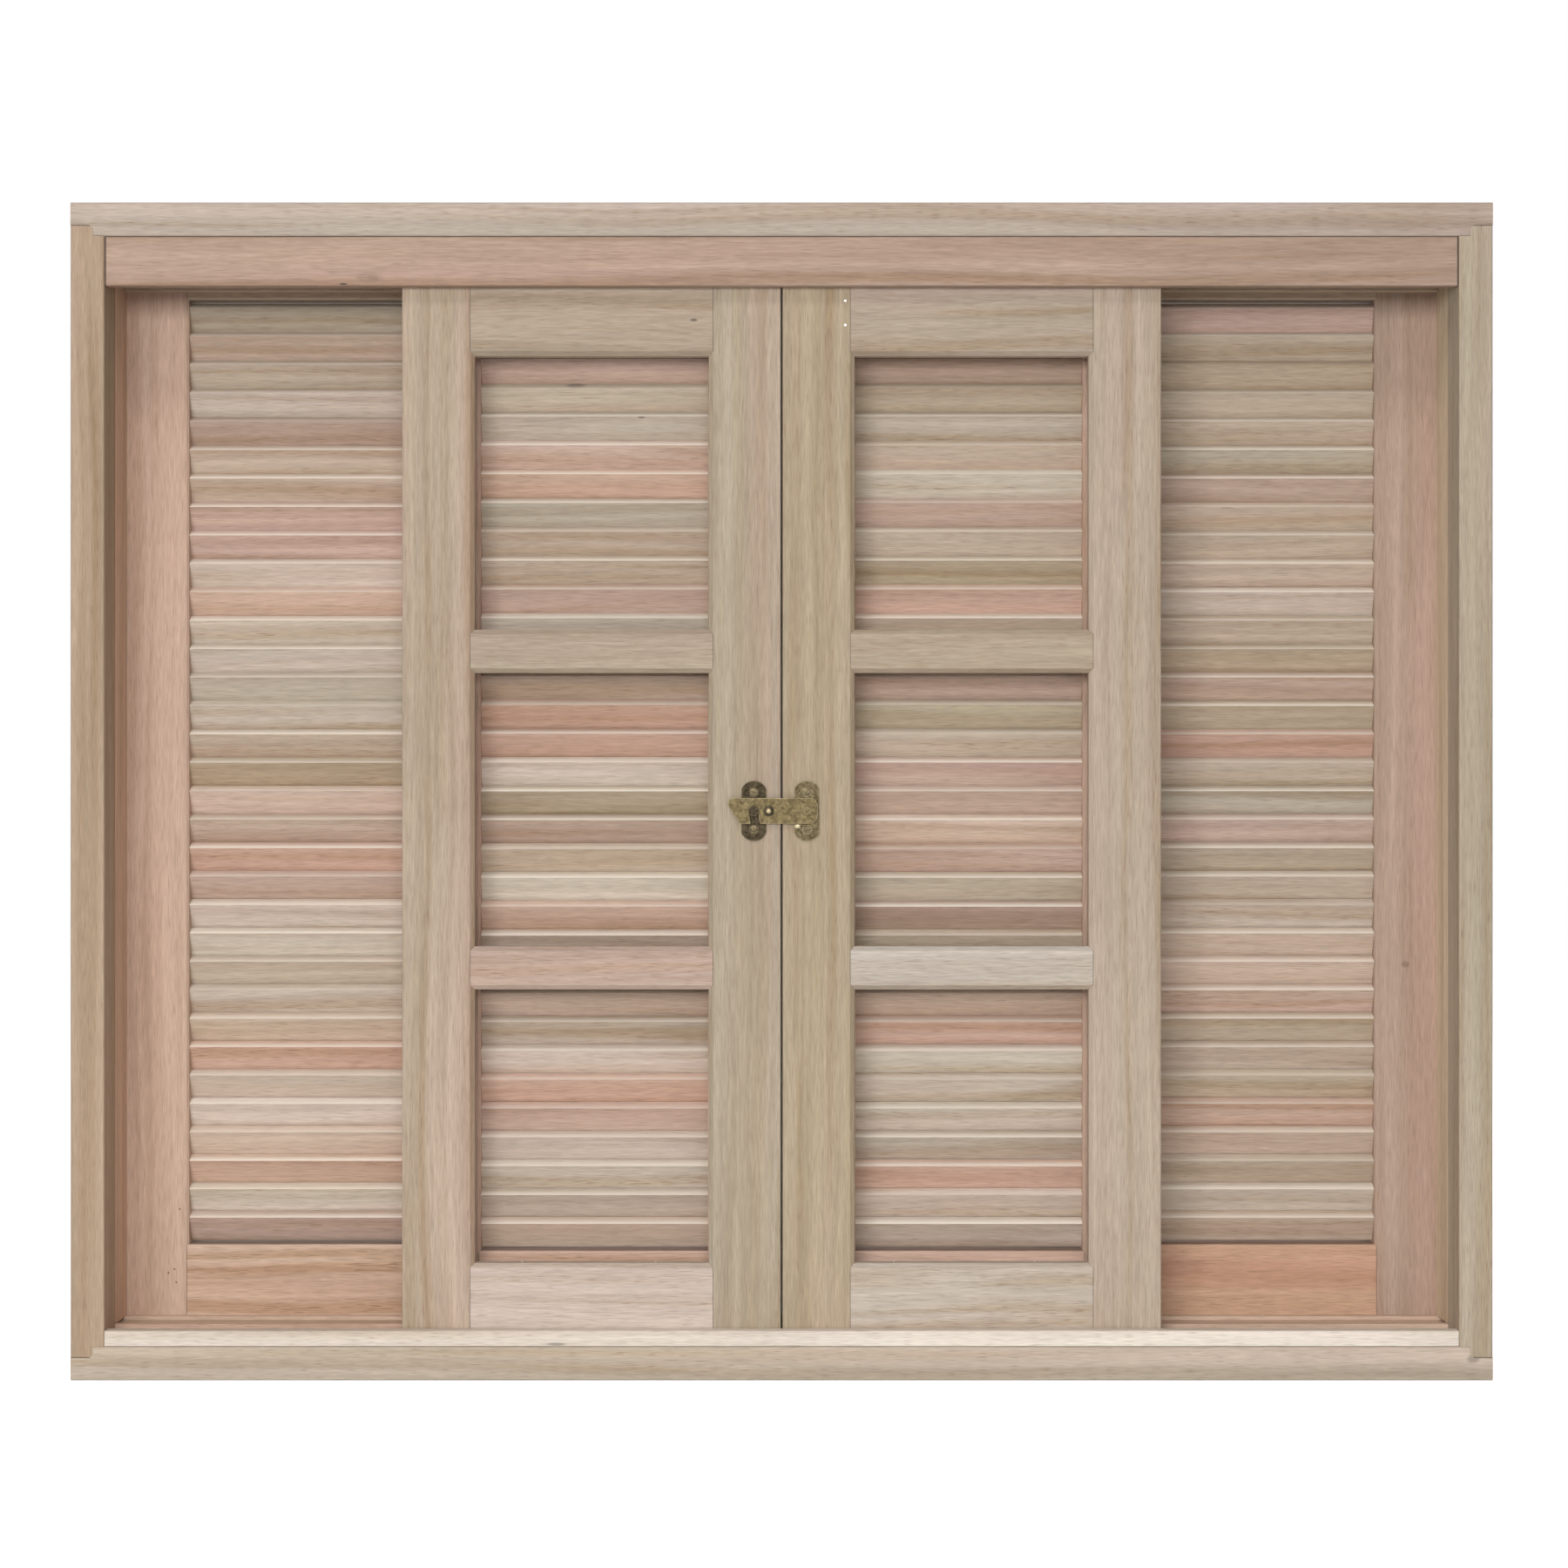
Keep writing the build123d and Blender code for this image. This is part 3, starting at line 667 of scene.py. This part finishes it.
slat_rings = 110.0
plain_tone = (0.5, 0.4, 0.3)
streak_tint = (0.88, 0.83, 0.78, 1)
tone_spread, seed_spread = 0.07, 40.0
# Painted shade at the foot of each slat's face: where it starts and ends up the slant, in metres,
# and how dark.
foot_shade_low, foot_shade_high, foot_shade_depth = -0.0121, -0.0103, 0.28
# The cream that the slats' upward-facing upper edges are painted toward, as a painted highlight.
highlight_cream = (0.97, 0.89, 0.79, 1)


def stepped_tones(tree, number, names):
    """The named tone of each slat by its number, from a ramp with a hard step at each change."""
    place = arithmetic(tree, "DIVIDE", arithmetic(tree, "ADD", number, 0.5), slat_count)
    ramp = place_node(tree, "ShaderNodeValToRGB", {0: place})
    ramp.color_ramp.interpolation = "CONSTANT"
    steps = ramp.color_ramp.elements
    steps.remove(steps[1])
    for k, name in enumerate(names):
        if k == 0 or name != names[k - 1]:
            step = steps[0] if k == 0 else steps.new(k / slat_count)
            step.color = (*slat_tones[name], 1)
    return ramp.outputs[0]


def upper_edge_highlight(tree, through, chance):
    """A mask of painted highlight on the slats' sawn upper edges, which face up, strongest at their
    front corner.
    """
    facing = place_node(tree, "ShaderNodeNewGeometry").outputs["True Normal"]
    upward = place_node(tree, "ShaderNodeSeparateXYZ", {0: facing}).outputs[2]
    near_corner = ramp_value(tree, through, -0.0045, 0.003, 1.0, 0.1)
    upper_edge = arithmetic(tree, "MULTIPLY", ramp_value(tree, upward, 0.6, 0.8), near_corner)
    shades = place_node(tree, "ShaderNodeSeparateColor", {0: chance["Color"]}).outputs
    brightness = ramp_value(tree, shades[1], 0, 0.8, 0.35, 0.95)
    return arithmetic(tree, "MULTIPLY", upper_edge, brightness)


def slat_finish(slats, names, first_chance, knots):
    """Timber whose tone and grain differ from slat to slat. The names run from the lowest slat
    up, and a chance value drawn for each slat makes it a little lighter or darker."""
    finish = timber_finish(
        slats, "X", 0.0, plain_tone, plain_tone, slat_rings, spots=knots, arris_radius=0
    )
    tree = finish.node_tree
    number, up_face, through = slat_places(tree, object_position(tree), *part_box(slats))
    chance = place_node(
        tree,
        "ShaderNodeTexWhiteNoise",
        {"W": arithmetic(tree, "ADD", number, first_chance)},
        noise_dimensions="1D",
    ).outputs
    lightness = ramp_value(tree, chance["Value"], 0, 1, 1 - tone_spread, 1 + tone_spread)
    tone = mixed(tree, 1.0, stepped_tones(tree, number, names), lightness, "MULTIPLY")
    streak = mixed(tree, 1.0, tone, streak_tint, "MULTIPLY")
    seed = arithmetic(tree, "MULTIPLY", chance["Value"], seed_spread)
    wood = next(n for n in tree.nodes if n.type == "GROUP" and n.node_tree == timber)
    for socket, value in (("Tone", tone), ("Streak", streak), ("Seed", seed)):
        tree.links.new(value, wood.inputs[socket])
    # The foot of each slat's face is darkened as painted shade, where it lies behind the upper edge
    # of the slat below.
    base_colour = tree.nodes["Principled BSDF"].inputs["Base Color"]
    face_colour = base_colour.links[0].from_socket
    painted_foot_shade = ramp_value(tree, up_face, foot_shade_low, foot_shade_high, 1 - foot_shade_depth, 1.0)
    with_painted_foot_shade = mixed(tree, 1.0, face_colour, painted_foot_shade, "MULTIPLY")
    # The upper edges that face up are painted toward cream, as a painted highlight.
    painted_highlight = upper_edge_highlight(tree, through, chance)
    tree.links.new(mixed(tree, painted_highlight, with_painted_foot_shade, highlight_cream), base_colour)
    return finish


# The words of each order run from the top slat down. A start for each leaf keeps its draws apart.
leaf_chances = {"left_panel": 71, "right_panel": 108, "left_shutter": 145, "right_shutter": 182}
for leaf, order in slat_orders.items():
    slats = f"{leaf}_slats"
    names = order.split()[::-1]
    clad(slats, slat_finish(slats, names, leaf_chances[leaf], slat_knots.get(leaf, ())))


# The latch
#
# A hand-sized surface latch of pressed, antiqued brass, one plate screwed to each sash. The bar
# turns on a rivet on the right plate and drops over a headed post on the left one.

# A mottled patina under fine grit, and paler metal at every edge: partly rubbed wear, partly
# painted highlight.
metal, given, made = new_group(
    "aged_metal",
    {"Vector": "Vector", "Bright": "Color", "Dull": "Color", "Rubbed_And_Highlight": "Color", "Edge": "Float"},
    {"Color": "Color", "Roughness": "Float", "Height": "Float"},
)
mottle = stretched_noise(metal, given["Vector"], (420.0, 420.0, 420.0), 4.0, 0.65)[0]
grit = stretched_noise(metal, given["Vector"], (2600.0, 2600.0, 2600.0), 2.0)[0]
patina = mixed(metal, ramp_value(metal, mottle, 0.36, 0.64), given["Dull"], given["Bright"])
speckled = mixed(metal, 1.0, patina, ramp_value(metal, grit, 0.3, 0.7, 0.85, 1.12), "MULTIPLY")
rubbed_and_highlit = mixed(metal, given["Edge"], speckled, given["Rubbed_And_Highlight"])
metal.links.new(rubbed_and_highlit, made.inputs["Color"])
metal.links.new(ramp_value(metal, mottle, 0.3, 0.7, 0.58, 0.42), made.inputs["Roughness"])
metal.links.new(grit, made.inputs["Height"])


def metal_finish(name, bright, dull, wear_and_highlight, radius=0.0005, highlight_and_wear_share=0.8):
    """Aged metal: mottled patina, painted paler at every edge, partly where an edge is rubbed and
    partly as painted highlight.
    """
    finish = bpy.data.materials.new(name)
    finish.use_nodes = True
    tree = finish.node_tree
    shader = tree.nodes["Principled BSDF"]
    edge = place_node(tree, "ShaderNodeGroup", {"Radius": radius}, node_tree=arris)
    surface = place_node(
        tree,
        "ShaderNodeGroup",
        {
            "Vector": object_position(tree),
            "Bright": (*bright, 1), "Dull": (*dull, 1), "Rubbed_And_Highlight": (*wear_and_highlight, 1),
            "Edge": arithmetic(tree, "MULTIPLY", edge.outputs["Edge"], highlight_and_wear_share),
        },
        node_tree=metal,
    )
    bump = place_node(
        tree,
        "ShaderNodeBump",
        {
            "Strength": 0.25, "Distance": 0.00005,
            "Height": surface.outputs["Height"], "Normal": edge.outputs["Normal"],
        },
    )
    tree.links.new(surface.outputs["Color"], shader.inputs["Base Color"])
    tree.links.new(surface.outputs["Roughness"], shader.inputs["Roughness"])
    tree.links.new(bump.outputs[0], shader.inputs["Normal"])
    shader.inputs["Metallic"].default_value = 1.0
    return finish


# How far from an edge the metal is painted paler, for rubbed wear and painted highlight.
rubbed_and_highlit_width = 0.0011
brass = metal_finish(
    "antique_brass", (0.118, 0.092, 0.046), (0.066, 0.05, 0.026), (0.75, 0.63, 0.4), rubbed_and_highlit_width
)
pale_brass = metal_finish(
    "pale_brass", (0.1, 0.078, 0.043), (0.048, 0.036, 0.02), (0.65, 0.54, 0.34), rubbed_and_highlit_width
)
bronze = metal_finish(
    "dark_bronze", (0.046, 0.036, 0.022), (0.024, 0.018, 0.011), (0.42, 0.34, 0.2), rubbed_and_highlit_width
)
for piece, finish in {
    "latch_bar": brass, "pivot_plate": pale_brass, "pivot_rivet": brass,
    "keeper_plate": bronze, "keeper_post": bronze,
}.items():
    clad(piece, finish)


# Knob and stop
#
# A small turned brass knob, painted bright at its tip partly from use and partly as painted
# highlight, is riveted through the bar in a dark ring.
# Below the bar's pivot end a round-nosed stub is pressed out of the plate to stop its fall; its
# brass is painted far paler than the plate's, as painted highlight.


def turned_surface(rings, turns):
    """Faces of a grid of rings by turns, closed around, with a fan to a pole at each end."""
    ring, turn = np.meshgrid(np.arange(rings - 1), np.arange(turns), indexing="ij")
    after = (turn + 1) % turns
    quads = np.stack(
        [ring * turns + turn, ring * turns + after, (ring + 1) * turns + after,
         (ring + 1) * turns + turn],
        axis=-1,
    ).reshape(-1, 4)
    around = np.arange(turns)
    following = (around + 1) % turns
    last = (rings - 1) * turns
    start = np.stack([np.full(turns, rings * turns), following, around], axis=-1)
    end = np.stack([np.full(turns, rings * turns + 1), last + around, last + following], axis=-1)
    return quads.tolist() + start.tolist() + end.tolist()


def turned_piece(centre_x, centre_z, radius, depth, turns):
    """Points of a profile of radius against depth, in metres, turned once about an axis square
    to the sashes, with a pole at each end of the profile."""
    angle = np.linspace(0, 2 * np.pi, turns, endpoint=False)
    points = np.stack(
        [
            centre_x + np.outer(radius, np.cos(angle)),
            np.repeat(np.asarray(depth)[:, None], turns, axis=1),
            centre_z + np.outer(radius, np.sin(angle)),
        ],
        axis=-1,
    ).reshape(-1, 3)
    poles = [[centre_x, depth[0], centre_z], [centre_x, depth[-1], centre_z]]
    return np.vstack([points, poles])


knob_turns = 32
knob_low, knob_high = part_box("latch_knob")
knob_x, knob_z = (knob_low.x + knob_high.x) / 2, (knob_low.z + knob_high.z) / 2
# From the tip: a domed head, a waist, and the flat ring that it is riveted in.
dome = np.linspace(0.12, 1.0, 7) * math.pi / 2
knob_radius = np.concatenate([
    [0.0004], 0.0023 * np.sin(dome), [0.0024, 0.0022, 0.0020, 0.0024, 0.0040, 0.0046, 0.0046],
])
knob_depth = knob_low.y + np.concatenate([
    [0.0], 0.0016 * (1 - np.cos(dome)), [0.0020, 0.0027, 0.0036, 0.0050, 0.0052, 0.0055, 0.0060],
])
knob_metal = metal_finish(
    "knob_worn_and_highlit", (0.05, 0.04, 0.026), (0.02, 0.016, 0.012), (0.3, 0.25, 0.14), 0.0002
)
bright_depth, dark_depth = 0.0012, 0.0026
bright_tip = (0.42, 0.35, 0.21, 1)
tree = knob_metal.node_tree
deep = place_node(tree, "ShaderNodeSeparateXYZ", {0: object_position(tree)}).outputs[1]
# The tip that faces the room is painted bright: partly wear from use, partly painted highlight.
tip_wear_and_highlight = ramp_value(tree, deep, knob_low.y + dark_depth, knob_low.y + bright_depth)
shader = tree.nodes["Principled BSDF"]
old_brass = shader.inputs["Base Color"].links[0].from_socket
tree.links.new(mixed(tree, tip_wear_and_highlight, old_brass, bright_tip), shader.inputs["Base Color"])
turned_knob = piece_mesh(
    "turned_knob", turned_piece(knob_x, knob_z, knob_radius, knob_depth, knob_turns),
    turned_surface(len(knob_radius), knob_turns), knob_metal, "latch",
)
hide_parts("latch_knob")

stub_rows, stub_turns = 7, 32
peg_low, peg_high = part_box("stop_peg")
peg_middle = np.array([(a + b) / 2 for a, b in zip(peg_low, peg_high)])
peg_half = np.array([(b - a) / 2 for a, b in zip(peg_low, peg_high)])


def pressed_stub(rows, turns):
    """Points of a round-nosed stub: a squarish ring, where the fourth powers of its two halves
    add up to one, drawn from the plate and shrinking along a quarter circle at its nose."""
    angle = np.linspace(0, 2 * np.pi, turns, endpoint=False)
    ring = np.stack([np.cos(angle), np.sin(angle)])
    ring = np.sign(ring) * np.abs(ring) ** 0.5
    nose_share = 0.55
    nose = np.linspace(0, 0.92, rows - 1)[::-1] * math.pi / 2
    size = np.concatenate([np.cos(nose), [1.0]])
    depth = np.concatenate([nose_share * (1 - np.sin(nose)) - 1, [1.0]])
    points = np.stack(
        [
            peg_middle[0] + peg_half[0] * np.outer(size, ring[0]),
            peg_middle[1] + peg_half[1] * np.repeat(depth[:, None], turns, axis=1),
            peg_middle[2] + peg_half[2] * np.outer(size, ring[1]),
        ],
        axis=-1,
    ).reshape(-1, 3)
    poles = np.tile(peg_middle, (2, 1))
    poles[:, 1] += peg_half[1] * np.array([-1.0, 1.0])
    return np.vstack([points, poles])


# The stub's paler brass is painted highlight.
stop_highlight_metal = metal_finish(
    "stop_painted_highlight", (0.36, 0.3, 0.19), (0.17, 0.14, 0.085), (0.5, 0.43, 0.28), 0.0003
)
stop_stub = piece_mesh(
    "stop_stub", pressed_stub(stub_rows, stub_turns), turned_surface(stub_rows, stub_turns),
    stop_highlight_metal, "right_sash",
)
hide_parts("stop_peg")


# The latch's screws
#
# Four small countersunk screws with a cross recess hold the plates to the sashes. Their heads
# sit a little below the plates' faces.


def screw_head(centre_x, face_y, centre_z, turn):
    """Points of a screw head facing the room.

    Depth is a low dome over radius and angle, less a cross-shaped recess that narrows inwards;
    the rim then slopes back as the head's cone. Rings run from the middle outwards and back.
    """
    radius, dome_height, turns = 0.00325, 0.0003, 48
    slot_half, slot_slope = 0.00042, 0.00012
    cross_reach, cross_slope, cross_depth = 0.0019, 0.0002, 0.0008
    pole_depth, shank_depth = 0.0005, 0.0030
    cone_reach = np.array([0.0030, 0.0016, 0.0008])
    cone_depth = np.array([0.0004, 0.0017, shank_depth])
    face_reach = radius * np.linspace(0.06, 1.0, 14)
    around = np.linspace(0, 2 * np.pi, turns, endpoint=False)
    reach, angle = np.meshgrid(face_reach, around, indexing="ij")
    along_arm, across_arm = np.sort(
        np.abs([reach * np.cos(angle + turn), reach * np.sin(angle + turn)]), axis=0
    )[::-1]
    within = np.clip((slot_half - across_arm) / slot_slope, 0, 1) * np.clip(
        (cross_reach - along_arm) / cross_slope, 0, 1
    )
    depth = within * cross_depth - dome_height * (1 - (reach / radius) ** 2)
    reach = np.vstack([reach, np.repeat(cone_reach[:, None], turns, axis=1)])
    depth = np.vstack([depth, np.repeat(cone_depth[:, None], turns, axis=1)])
    angle = np.vstack([angle, angle[: len(cone_reach)]])
    points = np.stack(
        [centre_x + reach * np.cos(angle), face_y + depth, centre_z + reach * np.sin(angle)],
        axis=-1,
    ).reshape(-1, 3)
    poles = [[centre_x, face_y + pole, centre_z] for pole in (pole_depth, shank_depth)]
    return np.vstack([points, poles]), turned_surface(len(reach), turns)


screw_steel = metal_finish(
    "tarnished_screw", (0.14, 0.112, 0.068), (0.055, 0.043, 0.026), (0.42, 0.34, 0.2), 0.0002
)
screw_sink = 0.0002
screw_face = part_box("pivot_plate")[0].y + screw_sink
# Each screw: its body, its centre in X and Z, how far it is turned in radians, and its slot.
for screw, (body, x, z, turn, slot) in {
    "keeper_upper_screw": ("left_sash", -0.0236, 0.4964, 0.2876, "dark_bronze"),
    "keeper_lower_screw": ("left_sash", -0.0236, 0.4646, 0.0376, "dark_bronze"),
    "pivot_upper_screw": ("right_sash", 0.0213, 0.4964, 0.6917, "aged_brass"),
    "pivot_lower_screw": ("right_sash", 0.0213, 0.4646, 0.4417, "aged_brass"),
}.items():
    screw_points, screw_faces = screw_head(x, screw_face, z, turn)
    piece_mesh(screw, screw_points, screw_faces, screw_steel, body)


# Nails
#
# Two bright wire nails pin the right sash's top joint through its face. Four more stand in the
# bottom rails' upper edges, where panes would be held.


def wire_nail(place, axis):
    """Points of a nail: a profile of radius against distance along its axis, turned once around.

    The head is a flat cap with a rounded rim, and the shank narrows to its point in the wood.
    """
    along = np.array([-0.0006, -0.00055, -0.0004, -0.0001, 0.0, 0.0002, 0.006, 0.008])
    radius = np.array([0.0007, 0.00105, 0.00125, 0.00125, 0.0011, 0.0006, 0.0006, 0.00015])
    cap_rise, tip_length, turns = 0.00002, 0.0003, 20
    angle = np.linspace(0, 2 * np.pi, turns, endpoint=False)
    sideways, upright = np.outer(radius, np.cos(angle)), np.outer(radius, np.sin(angle))
    deep = np.repeat(along[:, None], turns, axis=1)
    order = (sideways, deep, upright) if axis == "Y" else (upright, sideways, -deep)
    points = np.stack(order, axis=-1).reshape(-1, 3)
    ends = np.array([along[0] - cap_rise, along[-1] + tip_length])
    poles = np.zeros((2, 3))
    poles[:, 1 if axis == "Y" else 2] = ends if axis == "Y" else -ends
    return np.vstack([points, poles]) + place, turned_surface(len(along), turns)


nail_steel = metal_finish("bright_nail", (0.72, 0.7, 0.66), (0.5, 0.47, 0.42), (0.85, 0.83, 0.8))
sash_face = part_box("right_sash_top_rail")[0].y
pane_line = sash_face + 0.008
nail_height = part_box("right_sash_bottom_rail")[1].z + 0.0004
for nail, (body, place, axis) in {
    "upper_joint_nail": ("right_sash", (0.054, sash_face, 0.9132), "Y"),
    "lower_joint_nail": ("right_sash", (0.054, sash_face, 0.8926), "Y"),
    "pane_nail_1": ("left_sash", (-0.221, pane_line, nail_height), "Z"),
    "pane_nail_2": ("left_sash", (-0.107, pane_line, nail_height), "Z"),
    "pane_nail_3": ("right_sash", (0.0956, pane_line, nail_height), "Z"),
    "pane_nail_4": ("right_sash", (0.2156, pane_line, nail_height), "Z"),
}.items():
    nail_points, nail_faces = wire_nail(np.array(place), axis)
    piece_mesh(nail, nail_points, nail_faces, nail_steel, body)
